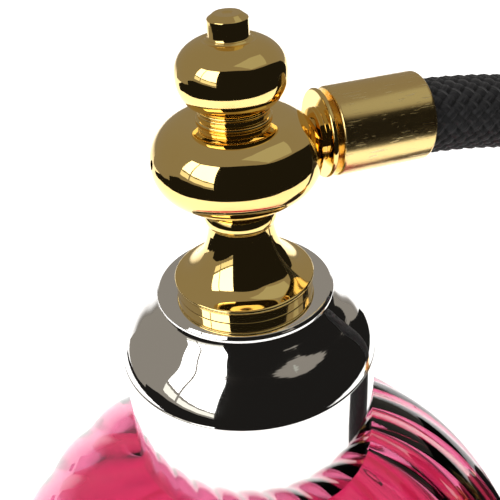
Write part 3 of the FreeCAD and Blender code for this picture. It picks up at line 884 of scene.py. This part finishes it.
def globe_glass():
    globe_r, _, rim = upright("glass_bottle")
    centre = 33.2
    wall = 2.8
    foot_r = 14.2
    punt_r = 10.2
    punt_rise = 1.3
    floor_z = 5.4
    root = 8.95
    bore = 7.25
    neck_foot = 70.8
    inside = globe_r - wall
    foot_edge = foot_r + 3.6
    shoulder = root + 1.75
    floor_edge = 17.0
    floor_turn = 21.0
    throat = bore + 1.6
    rim_round = 0.45

    def on_globe(ball, radius, sign=1):
        return centre + sign * math.sqrt(ball ** 2 - radius ** 2)

    points, _ = outline(
        (0, punt_rise),
        ((punt_r * 0.6, punt_rise * 0.7), (punt_r, 0)),
        (foot_r, 0),
        ((foot_r + 2.2, 0.55), (foot_edge, on_globe(globe_r, foot_edge, -1))),
        ((globe_r, centre), (shoulder, on_globe(globe_r, shoulder))),
        ((root + 0.4, neck_foot - 1.1), (root, neck_foot)),
        (root, rim - rim_round),
        ((root - 0.13, rim - 0.13), (root - rim_round, rim)),
        (bore + rim_round, rim),
        ((bore + 0.13, rim - 0.13), (bore, rim - rim_round)),
        (bore, neck_foot - 1.8),
        ((bore + 0.35, neck_foot - 3.3), (throat, on_globe(inside, throat))),
        ((inside, centre), (floor_turn, on_globe(inside, floor_turn, -1))),
        ((floor_edge + 2.1, floor_z + 0.5), (floor_edge, floor_z)),
        (0, floor_z),
        step=0.9, line_step=0.3)
    blank = piece(turned_mesh("globe_blank", points, segments=320), "cranberry_glass")
    use_tree(blank, swirl_tree(), {
        "Ribs": RIBS,
        "Depth": RIB_DEPTH * MM,
        "Swirl": RIB_SWIRL,
        "Globe height": centre * MM,
        "Neck foot": (neck_foot + 1.0) * MM,
        "Wall middle": (globe_r - wall / 2) * MM,
        "Neck radius": (root - 0.3) * MM,
        "Ridge height": 0.95 * MM,
        "Ridge start": 76.6 * MM,
        "Ridge turns": 1.25,
        "Pitch": 3.0 * MM,
        "Ridge width": 0.85 * MM,
        "Finish": FINISHES["cranberry_glass"],
    })
    mesh = baked(blank, "globe_glass")
    tidy_mesh(mesh, math.radians(60))
    return settle(piece(mesh, "cranberry_glass"), "bottle", "cranberry_glass", "glass_bottle")


globe_glass()


# ---- collar
def collar_dome():
    """Spun shell: flat roof, ogee dome, a crisp step and a straight skirt with a rolled hem."""
    radius, hem, top = upright("collar_shell")
    edge_z = PLATE_Z - 7.4
    roof_bore = 4.0

    def ogee(inset):
        top_r = PLATE_R - 0.45 - inset
        edge_r = radius - 0.08 - inset
        top_z = top - inset
        shares = [(0.0, 0.0), (0.03, 0.07), (0.14, 0.17), (0.36, 0.33), (0.62, 0.51),
                  (0.84, 0.71), (0.96, 0.88), (1.0, 1.0)]
        return [(top_r + (edge_r - top_r) * a, top_z + (edge_z - top_z) * b) for a, b in shares]

    outer = ogee(0.0)
    inner = ogee(SHELL_WALL)
    inner.reverse()
    return turned(
        "collar_dome", "collar_shell", "collar", "silver_plate",
        (roof_bore, top),
        outer[0],
        outer[1:],
        (radius, edge_z - 0.12),
        (radius, hem + 0.3),
        ((radius - 0.25, hem), (radius - 0.5, hem + 0.3)),
        (radius - SHELL_WALL, edge_z - 0.6),
        inner[0],
        inner[1:],
        (roof_bore, top - SHELL_WALL),
        segments=FINE_SEGMENTS)


def plate_disc():
    radius, low, top = upright("collar_plate")
    bevel = 0.28
    bore = STEM_R + 0.08
    return turned(
        "plate_disc", "collar_plate", "collar", "silver_plate",
        (bore, low),
        (radius - 0.35, low),
        ((radius - 0.08, low + 0.2), (radius, low + 0.45)),
        (radius, top - bevel),
        (radius - bevel, top),
        (bore, top),
        segments=FINE_SEGMENTS)


collar_dome()
plate_disc()


# ---- spray head
def bell_foot():
    lip_r, base, top = upright("head_bell")
    lip_z = PLATE_Z + 1.55
    band_r = lip_r - 0.12
    neck_r = 3.2
    return turned(
        "bell_foot", "head_bell", "head", "polished_brass",
        (STEM_R, base),
        (band_r, base),
        (band_r, lip_z - 0.52),
        (band_r - 0.12, lip_z - 0.46),
        ((lip_r, lip_z - 0.22), (band_r - 0.08, lip_z)),
        [(lip_r - 1.1, lip_z + 0.42), (lip_r - 2.25, lip_z + 1.45),
         (neck_r + 0.6, lip_z + 3.1), (neck_r + 0.08, lip_z + 5.0)],
        (neck_r, top),
        (STEM_R, top))


def stepped_seat():
    seat_r, low, top = upright("ball_seat")
    ring_r = 3.45
    return turned(
        "stepped_seat", "ball_seat", "head", "polished_brass",
        (STEM_R, low),
        (ring_r - 0.15, low),
        ((ring_r + 0.1, low + 0.75), (ring_r - 0.05, low + 1.5)),
        (ring_r - 0.3, low + 1.6),
        ((ring_r - 0.05, low + 2.1), (seat_r - 0.45, top - 0.72)),
        (seat_r - 0.1, top - 0.66),
        ((seat_r, top - 0.5), (seat_r - 0.1, top - 0.34)),
        (seat_r - 0.25, top - 0.3),
        (seat_r - 0.05, top),
        (STEM_R, top))


def drilled(name, blank, *cutters):
    """Cuts each cutter out of the blank and returns the finished mesh's object."""
    for cutter in cutters:
        cut = blank.modifiers.new(cutter.name, "BOOLEAN")
        cut.operation = "DIFFERENCE"
        cut.solver = "EXACT"
        cut.object = cutter
    view = bpy.context.evaluated_depsgraph_get()
    mesh = bpy.data.meshes.new_from_object(blank.evaluated_get(view), depsgraph=view)
    for spare in (blank, *cutters):
        bpy.data.objects.remove(spare)
    mesh.name = name
    tidy_mesh(mesh, math.radians(30))
    return piece(mesh, "polished_brass")


def drill(name, radius, low, high, lay=upright_lay):
    points = [(0, low), (radius, low), (radius, high), (0, high)]
    return piece(turned_mesh(name, points, lay, DRILL_SEGMENTS), "polished_brass")


def body_ball():
    """The flattened atomiser body, with its cross bore, outlet, stem hole and tapped hole."""
    ball_r, low, top = upright("lower_ball")
    middle = PLATE_Z + 14.4
    down_tall = 4.6
    fullness = 2.3
    flat_r = 4.3
    outlet_r = 0.45
    outlet_skin = 1.35
    cut = math.degrees(math.asin(((middle - low) / down_tall) ** (fullness / 2)))
    down = half_oval(ball_r, down_tall, fullness, middle, -cut, 0, 9)
    up = half_oval(ball_r - flat_r, top - middle, 2.0, middle, 0, 90, 9)
    up = [(flat_r + r, z) for r, z in up]
    points, joints = outline((0, low), down[0], down[1:] + up[1:], (0, top))
    mesh = turned_mesh("ball_blank", eased(points, joints), segments=FINE_SEGMENTS)
    blank = piece(mesh, "polished_brass")
    return settle(drilled(
        "body_ball", blank,
        drill("stem_drill", STEM_R, low - 1, SPRAY_Z - CROSS_BORE_R * 0.5),
        drill("cross_drill", CROSS_BORE_R, outlet_skin - ball_r, ball_r + 1, level_lay),
        drill("outlet_drill", outlet_r, -ball_r - 1, 0.2, level_lay),
        drill("face_drill", 2.6, ball_r - 0.55, ball_r + 1.2, level_lay),
        drill("pin_drill", PIN_SHANK_R, top - 0.75, top + 1),
    ), "head", "polished_brass", "lower_ball")


def beaded_neck():
    _, low, top = upright("finial_neck")
    r = 3.3
    return turned(
        "beaded_neck", "finial_neck", "head", "polished_brass",
        (PIN_SHANK_R, low),
        (r + 0.12, low),
        ((r + 0.2, low + 0.16), (r + 0.1, low + 0.32)),
        (r - 0.08, low + 0.38),
        (r, low + 0.46),
        (r, low + 0.84),
        (r - 0.14, low + 0.94),
        ((r + 0.1, low + 1.12), (r - 0.1, low + 1.3)),
        ((r + 0.12, low + 1.55), (r + 0.5, top)),
        (PIN_SHANK_R, top))


def top_ball():
    ball_r, low, crown = upright("finial_ball")
    middle = PLATE_Z + 22.6
    up_tall, down_tall = 3.28, 3.8
    fullness = 2.35
    crown_r = 2.4
    cut = -math.degrees(math.asin(((middle - low) / down_tall) ** (fullness / 2)))
    down = half_oval(ball_r, down_tall, fullness, middle, cut, 0, 7)
    rest = math.degrees(math.acos((crown_r / ball_r) ** (fullness / 2)))
    up = half_oval(ball_r, up_tall, fullness, middle, 0, rest, 9)
    return turned(
        "top_ball", "finial_ball", "head", "polished_brass",
        (PIN_SHANK_R, low),
        down[0],
        down[1:] + up[1:],
        ((crown_r - 0.22, crown - 0.16), (crown_r - 0.4, crown)),
        (PIN_SHANK_R, crown))


def top_pin():
    _, foot, top = upright("finial_pin")
    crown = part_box("finial_ball")[1].z / MM
    r = 1.8
    return turned(
        "top_pin", "finial_pin", "head", "polished_brass",
        (0, foot),
        (PIN_SHANK_R, foot),
        (PIN_SHANK_R, crown),
        (r + 0.12, crown),
        ((r + 0.04, crown + 0.1), (r, crown + 0.25)),
        (r, top - 0.42),
        (r - 0.55, top),
        (0.5, top),
        (0.3, top - 0.12),
        (0, top - 0.15))


bell_foot()
stepped_seat()
body_ball()
beaded_neck()
top_ball()
top_pin()


# ---- hose fittings
def barbed_nipple():
    radius, start, end = level("hose_nipple")
    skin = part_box("lower_ball")[1].x / MM - 0.05
    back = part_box("hose_braid")[0].x / MM - 0.05
    return turned(
        "barbed_nipple", "hose_nipple", "head", "polished_brass",
        (AIR_BORE_R, start),
        (CROSS_BORE_R - 0.05, start),
        (CROSS_BORE_R - 0.05, skin - 0.48),
        (2.55, skin - 0.48),
        (2.55, skin),
        (radius - 0.15, skin),
        ((radius, skin + 0.25), (radius - 0.15, skin + 0.5)),
        (HOSE_SEAT_R, skin + 0.5),
        (HOSE_SEAT_R, back),
        (HOSE_BORE_R, back),
        (HOSE_BORE_R, end - 1.0),
        (HOSE_BORE_R - 0.35, end),
        (AIR_BORE_R, end),
        lay=level_lay)


def sleeve_end(radius, end, stop):
    """The end of a crimped sleeve that grips the hose."""
    return (
        (radius, end - 0.45),
        ((radius - 0.12, end - 0.12), (HOSE_R + 0.1, end)),
        (HOSE_R, end - 0.1),
        (HOSE_R, stop),
        (HOSE_SEAT_R, stop),
    )


def hose_sleeves():
    """One sleeve next to the ball, and one above the bulb."""
    start = FERRULE_START
    turned(
        "hose_sleeve", "hose_ferrule", "head", "gilt_ferrule",
        (HOSE_SEAT_R, start),
        (FERRULE_R - 0.3, start),
        ((FERRULE_R - 0.08, start + 0.08), (FERRULE_R, start + 0.3)),
        *sleeve_end(FERRULE_R, FERRULE_END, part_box("hose_braid")[0].x / MM),
        lay=level_lay)
    radius, low, top = hanging("bulb_ferrule")
    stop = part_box("hose_braid")[0].z / MM
    return turned(
        "bulb_sleeve", "bulb_ferrule", "head", "gilt_ferrule",
        (HOSE_SEAT_R, low),
        (radius - 0.45, low),
        ((radius - 0.12, low + 0.12), (radius, low + 0.45)),
        *sleeve_end(radius, top, stop),
        finish="gilt_upright", lay=hanging_lay)


barbed_nipple()
bulb_sleeve = hose_sleeves()


# ---- bulb
BULB_R, BULB_TAIL, BULB_TOP = hanging("rubber_bulb")
BULB_NECK_R = 5.4
COVER_THICK = 0.7
VALVE_R = 4.0
SEAT_HOLE_R = 1.0
CHAMBER_R = 2.2


def valve_bore(seat):
    """The hollow round a check ball, from above the chamber down through the seat."""
    return (AIR_BORE_R, seat + 4.3), (CHAMBER_R, seat + 3.5), (CHAMBER_R, seat), (SEAT_HOLE_R, seat)


def bulb_union():
    _, low, top = hanging("bulb_connector")
    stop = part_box("hose_braid")[0].z / MM
    return turned(
        "bulb_union", "bulb_connector", "head", "polished_brass",
        (SEAT_HOLE_R, low),
        (VALVE_R, low),
        (VALVE_R, BULB_TOP),
        (BULB_NECK_R, BULB_TOP),
        ((BULB_NECK_R + 0.25, BULB_TOP + 0.6), (BULB_NECK_R, BULB_TOP + 1.2)),
        (HOSE_SEAT_R, BULB_TOP + 1.8),
        (HOSE_SEAT_R, stop),
        (HOSE_BORE_R, stop),
        (HOSE_BORE_R, top - 1.0),
        (HOSE_BORE_R - 0.35, top),
        (AIR_BORE_R, top),
        *valve_bore(low + 1.0),
        lay=hanging_lay)


def tail_valve():
    _, low, top = hanging("intake_fitting")
    gap = 0.05
    return turned(
        "tail_valve", "intake_fitting", "intake", "polished_brass",
        (SEAT_HOLE_R, low),
        (BULB_NECK_R - 0.9, low),
        ((BULB_NECK_R + 0.1, low + 0.5), (BULB_NECK_R + 0.5, low + 1.6)),
        (BULB_NECK_R + 0.5, BULB_TAIL - 0.8),
        (BULB_NECK_R, BULB_TAIL - gap),
        (VALVE_R - gap, BULB_TAIL - gap),
        (VALVE_R - gap, top),
        (AIR_BORE_R, top),
        *valve_bore(low + 1.0),
        lay=hanging_lay)


def neck_ring(name, node, body, offset):
    _, low, high = hanging(node)
    inside = BULB_NECK_R + COVER_THICK + offset
    return turned(
        name, node, body, "gilt_ferrule",
        (inside, low),
        ((inside + 0.75, (low + high) / 2), (inside, high)),
        finish="gilt_upright", lay=hanging_lay)


BULB_SHARES = [(0.00, 0.920), (0.16, 0.885), (0.46, 0.820), (0.76, 0.713), (0.95, 0.587),
               (1.00, 0.482), (0.96, 0.365), (0.83, 0.250), (0.58, 0.157), (0.28, 0.096),
               (0.06, 0.064), (0.00, 0.040)]


def bulb_side(offset):
    """The egg-shaped side of the bulb from its top neck to its tail, pushed out by offset."""
    span = BULB_R - BULB_NECK_R
    tall = BULB_TOP - BULB_TAIL
    return [(BULB_NECK_R + offset + span * out, BULB_TAIL + tall * up) for out, up in BULB_SHARES]


def squeezed(made):
    """Gives the piece its own copy of its mesh; the bulb is not squeezed."""
    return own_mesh(made)


def rubber_bladder():
    outer = bulb_side(0.0)
    inner = bulb_side(VALVE_R - BULB_NECK_R)
    inner.reverse()
    return squeezed(turned(
        "rubber_bladder", "rubber_bulb", "head", "hose_rubber",
        (outer[0][0], BULB_TOP),
        outer[0],
        outer[1:],
        (outer[-1][0], BULB_TAIL),
        (inner[0][0], BULB_TAIL),
        inner[0],
        inner[1:],
        (inner[-1][0], BULB_TOP),
        lay=hanging_lay, segments=128))


def bulb_netting():
    """The plaited cover, whose strands narrow with the bulb towards both necks."""
    side = bulb_side(0.0)
    steps = [(side[0][0], BULB_TOP), side[0], side[1:], (side[-1][0], BULB_TAIL)]
    points, _ = outline(*steps, step=0.6)
    points.reverse()
    line = open_line("bulb_side_line", "POLY", [(r * MM, 0, z * MM) for r, z in points])
    strand_length = 0.065
    mesh = plaited(line, "bulb_netting", weave_tree("plaited_cover", True), BULB_YARN, COVER_THICK,
                   170, strand_length, BULB_R * MM)
    mesh.transform(Matrix.Translation((BULB_X * MM, 0, 0)))
    return squeezed(yarn_piece(mesh, "bulb_cover"))


on_the_hose = [
    core,
    bulb_sleeve,
    bulb_union(),
    tail_valve(),
    neck_ring("top_ring", "bulb_neck_ring", "head", 0.0),
    neck_ring("tail_ring", "bulb_tail_ring", "intake", 0.05),
    rubber_bladder(),
    bulb_netting(),
    "outlet_check_ball",
    "intake_check_ball",
]
hose_path()


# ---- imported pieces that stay
KEPT_NODES = {
    "collar_liner": "black_plastic",
    "neck_gasket": "gasket_rubber",
    "spray_nozzle": "plain_brass",
    "air_jet": "plain_brass",
    "siphon_stem": "plain_brass",
    "stem_washer": "plain_brass",
    "stem_nut": "plain_brass",
    "dip_tube": "clear_plastic",
    "outlet_check_ball": "valve_steel",
    "intake_check_ball": "valve_steel",
}


def dress_packed_nodes():
    for node, finish in KEPT_NODES.items():
        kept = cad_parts[node]
        if not kept.material_slots:
            kept.data.materials.append(FINISHES[finish])
        for place in kept.material_slots:
            place.material = FINISHES[finish]


dress_packed_nodes()


# ---- studio
def floor_finish():
    material, board = new_finish("pale_table_finish")
    place = board.place()
    cloud = board.noise(place, 14.0, 3.0)
    solid_finish(board, {
        "Base Color": board.colours(cloud, (0.86, 0.86, 0.87, 1), (0.82, 0.82, 0.83, 1)),
        "Roughness": 0.6,
    })
    return material


def floor():
    half = 3.0
    mesh = bpy.data.meshes.new("table_top")
    corners = [(-half, -half, 0), (half, -half, 0), (half, half, 0), (-half, half, 0)]
    mesh.from_pydata(corners, [], [(0, 1, 2, 3)])
    mesh.materials.append(floor_finish())
    made = linked("table_top", mesh)


HEAD_PLACE = Vector((0, 0, (PLATE_Z + 12.0) * MM))
FAR = 0.9                  # from the spray head to the far side of the studio
ABOVE_TABLE = 0.0008
ROOM_COLOUR = (0.27, 0.245, 0.21)


def direction(left, up):
    """The way out from the spray head, by degrees to the left of the camera and up."""
    turn = CAMERA_SWING + math.radians(left)
    rise = math.radians(up)
    return Vector((-math.cos(rise) * math.sin(turn), -math.cos(rise) * math.cos(turn),
                   math.sin(rise)))


def studio_point(left, up):
    """Where that way meets the table, or the far side of the studio."""
    way = direction(left, up)
    reach = FAR
    if way.z < 0:
        reach = min(FAR, (HEAD_PLACE.z - ABOVE_TABLE) / -way.z)
    return HEAD_PLACE + way * reach


def cards(name, shapes, colour, strength, seen_by_glass=True):
    """Flat studio cards that only mirrors and glass see, from their corners' directions."""
    verts, faces = [], []
    for shape in shapes:
        faces.append([len(verts) + i for i in range(len(shape))])
        verts += [studio_point(*corner) for corner in shape]
    mesh = bpy.data.meshes.new(name)
    mesh.from_pydata(verts, [], faces)
    material, board = new_finish(name + "_glow")
    glow = board.add("ShaderNodeEmission", None, {"Color": (*colour, 1), "Strength": strength})
    close_finish(board, glow.out())
    mesh.materials.append(material)
    made = linked(name, mesh)
    made.visible_camera = False
    made.visible_diffuse = False
    made.visible_shadow = False
    made.visible_transmission = seen_by_glass


def band(rows):
    """Four-sided cards side by side, from (left, low, high) rows."""
    return [[(a, a_low), (b, b_low), (b, b_high), (a, a_high)]
            for (a, a_low, a_high), (b, b_low, b_high) in zip(rows, rows[1:])]


# Bands: degrees to the left of the camera, then the low and the high edge in degrees up.
# Windows and board: corners, by degrees to the left and up.
DARK_SIDE = [(130, -23, -19), (117, -24, -16), (104, -26, -11), (94, -28, -5), (80, -30, 1),
             (60, -31, -1), (45, -32, -4), (30, -33, -7)]
DARK_FRONT = [(30, -33, 51), (15, -33, 53), (0, -33, 54), (-15, -33, 53), (-30, -32, 50),
              (-47, -31, 44), (-60, -29, 40), (-79, -27, 35), (-95, -25, 29), (-110, -22, 19),
              (-125, -20, 8), (-142, -20, -14)]
GREY_WALL = [(94, -15, 4), (104, -15, 4), (117, -15, 4), (134, -15, 4)]
WINDOW_HIGH = [[(79, 21), (65, 18), (65, 46), (81, 44)],
               [(63, 17), (45, 13), (27, 9), (29, 50), (45, 49), (63, 46)]]
WINDOW_LOW = [[(78, 9), (65, 6), (65, 15), (79, 18)],
              [(63, 5), (45, 1), (27, -3), (27, 6), (45, 10), (63, 14)]]
PALE_BOARD = [[(-12, 70), (-52, 45), (-93, 34), (-125, 50), (-110, 66), (-60, 74)]]


def studio_cards():
    cards("grey_wall", band(GREY_WALL), ROOM_COLOUR, 1.0, False)
    cards("dark_side", band(DARK_SIDE) + band(DARK_FRONT), (0.012, 0.011, 0.010), 1.0, False)
    cards("window_high", WINDOW_HIGH, (1.0, 1.0, 1.0), 3.0)
    cards("window_low", WINDOW_LOW, (1.0, 0.98, 0.88), 1.1)
    cards("pale_board", PALE_BOARD, (1.0, 1.0, 0.88), 0.42)


def lamp(name, place, size, power):
    """A round lamp that mirrors and glass don't show."""
    data = bpy.data.lights.new(name, "AREA")
    data.shape = "DISK"
    data.size = size
    data.energy = power
    made = linked(name, data)
    made.location = place
    made.rotation_mode = "QUATERNION"
    made.rotation_quaternion = (HEAD_PLACE - Vector(place)).to_track_quat("-Z", "Y")
    made.visible_glossy = False
    made.visible_transmission = False


def room():
    """Warm grey walls and ceiling for the mirrors, and a pale room for the camera itself."""
    world = bpy.data.worlds.new("room")
    bpy.context.scene.world = world
    world.use_nodes = True
    world.node_tree.nodes.clear()
    board = Board(world.node_tree)
    seen = board.add("ShaderNodeLightPath").out("Is Camera Ray")
    walls = board.node("ShaderNodeBackground",
                       {"Color": (*ROOM_COLOUR, 1), "Strength": 1.0})
    pale = board.node("ShaderNodeBackground",
                      {"Color": (0.98, 0.98, 0.98, 1), "Strength": 1.0})
    both = board.node("ShaderNodeMixShader", {0: seen, 1: walls, 2: pale})
    board.add("ShaderNodeOutputWorld", None, {"Surface": both})


room()
floor()
studio_cards()
lamp("overhead", (-0.25, -0.1, 0.75), 0.7, 9.0)
lamp("fill_behind", (0.35, 0.5, 0.55), 0.6, 5.0)
bpy.context.scene.view_settings.view_transform = "Standard"
